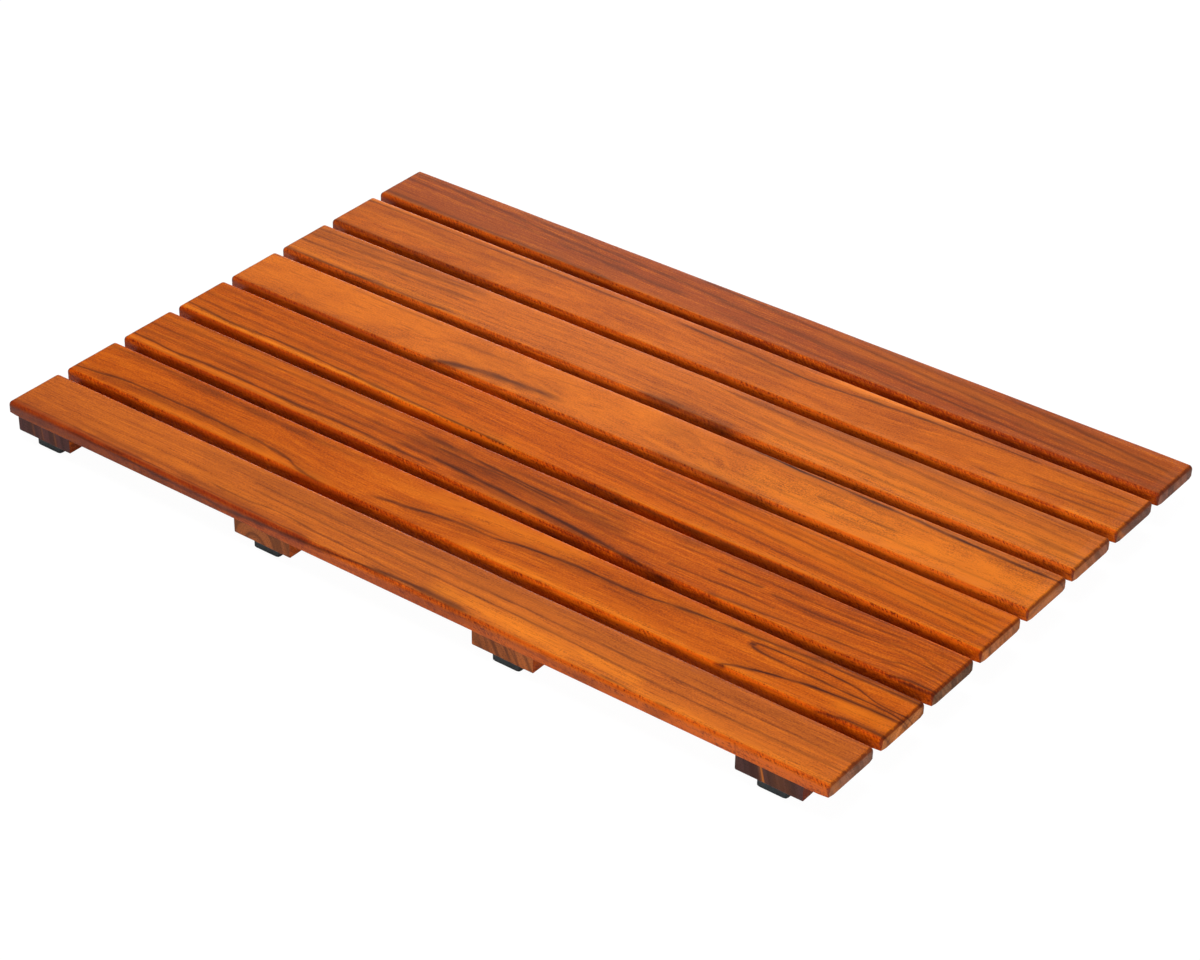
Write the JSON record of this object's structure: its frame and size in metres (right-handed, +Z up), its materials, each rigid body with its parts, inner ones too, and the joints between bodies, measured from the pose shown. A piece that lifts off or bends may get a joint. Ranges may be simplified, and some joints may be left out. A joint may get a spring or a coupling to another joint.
{
  "type": "slatted bath mat",
  "caption": "Rigid slatted wooden bath mat: parallel planks with drain gaps, screwed to cross battens that stand on rubber pads.",
  "frame": {"origin": "on the ground, under the middle of the mat", "axes": "+X runs along the planks, the longest extent; +Y runs across the planks from the front edge to the back edge; +Z is up, the shortest extent"},
  "size_m": [0.787, 0.5074, 0.032],
  "materials": {
    "slat_1": "oiled, satin",
    "slat_2": "oiled, satin",
    "slat_3": "oiled, satin",
    "slat_4": "oiled, satin",
    "slat_5": "oiled, satin",
    "slat_6": "oiled, satin",
    "slat_7": "oiled, satin",
    "slat_8": "oiled, satin",
    "batten_1": "oiled, satin",
    "batten_2": "oiled, satin",
    "batten_3": "oiled, satin",
    "batten_4": "oiled, satin",
    "rubber": "matt moulded",
    "steel": "plain stainless"
  },
  "bodies": {
    "root": {"slat_1": "slat_1", "slat_2": "slat_2", "slat_3": "slat_3", "slat_4": "slat_4", "slat_5": "slat_5", "slat_6": "slat_6", "slat_7": "slat_7", "slat_8": "slat_8", "batten_1": "batten_1", "batten_2": "batten_2", "batten_3": "batten_3", "batten_4": "batten_4", "foot_1_front": "rubber", "foot_1_middle": "rubber", "foot_1_back": "rubber", "foot_2_front": "rubber", "foot_2_middle": "rubber", "foot_2_back": "rubber", "foot_3_front": "rubber", "foot_3_middle": "rubber", "foot_3_back": "rubber", "foot_4_front": "rubber", "foot_4_middle": "rubber", "foot_4_back": "rubber", "slat_screws_1": "steel", "slat_screws_2": "steel", "slat_screws_3": "steel", "slat_screws_4": "steel", "foot_screws_1": "steel", "foot_screws_2": "steel", "foot_screws_3": "steel", "foot_screws_4": "steel"}
  },
  "joints": []
}
